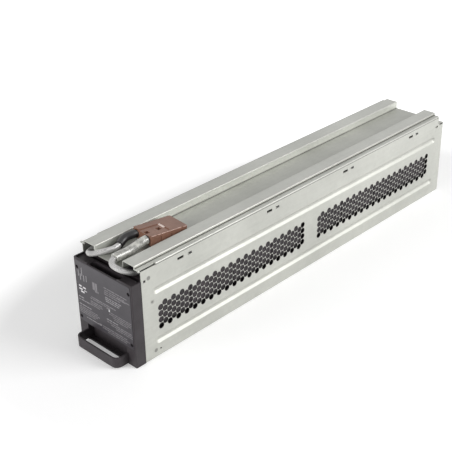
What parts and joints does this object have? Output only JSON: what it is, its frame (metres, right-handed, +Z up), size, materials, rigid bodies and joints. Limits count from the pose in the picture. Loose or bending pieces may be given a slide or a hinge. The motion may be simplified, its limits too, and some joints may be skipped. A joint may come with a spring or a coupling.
{
  "type": "ups battery cartridge",
  "caption": "Long perforated steel tray of sealed batteries for an uninterruptible power supply, with a channel cover, front handle and plug-in lead.",
  "frame": {"origin": "bottom centre of the rigid cartridge's box, midway between the handle's front and the rear wall, on the surface it stands on", "axes": "+Z up, +Y from the bezel to the rear wall, front toward -Y, +X to the right seen from the front"},
  "size_m": [0.0984, 0.6184, 0.1314],
  "materials": {
    "tray_steel": "galvanised sheet",
    "cover_steel": "galvanised sheet",
    "bezel_plastic": "fine moulded grain",
    "label_film": "printed film, satin",
    "screw_steel": "black oxide",
    "battery_case": "moulded ABS",
    "link_strap": "insulated strap",
    "terminal_brass": "tinned",
    "liner_film": "insulating film",
    "foam": "closed-cell foam",
    "lead_sleeve": "silvery braided sleeve",
    "loose_sleeve": "translucent loose sleeve",
    "heat_shrink": "heat-shrink tube",
    "cable_insulation": "insulated cable",
    "boot_rubber": "moulded boot",
    "connector_plastic": "moulded nylon",
    "contact_brass": "silver-plated copper",
    "spring_steel": "spring steel"
  },
  "bodies": {
    "root": {"base_liner": "liner_film", "battery_1": "battery_case", "battery_2": "battery_case", "battery_3": "battery_case", "battery_4": "battery_case", "battery_5": "battery_case", "battery_6": "battery_case", "battery_7": "battery_case", "battery_8": "battery_case", "bezel_screws": "screw_steel", "connector_housing": "connector_plastic", "connector_springs": "spring_steel", "contact_negative": "contact_brass", "contact_positive": "contact_brass", "front_bezel": "bezel_plastic", "front_foam_pad": "foam", "front_label": "label_film", "negative_heat_shrink": "heat_shrink", "negative_lead": "lead_sleeve", "positive_boot": "boot_rubber", "positive_lead": "lead_sleeve", "positive_sleeve": "loose_sleeve", "rear_foam_pad": "foam", "return_boot": "boot_rubber", "return_cable": "cable_insulation", "return_splice": "heat_shrink", "series_link_1": "link_strap", "series_link_2": "link_strap", "series_link_3": "link_strap", "series_link_4": "link_strap", "series_link_5": "link_strap", "series_link_6": "link_strap", "series_link_7": "link_strap", "terminal_blades": "terminal_brass", "top_cover": "cover_steel", "top_foam_strip": "foam", "tray": "tray_steel"}
  },
  "joints": []
}
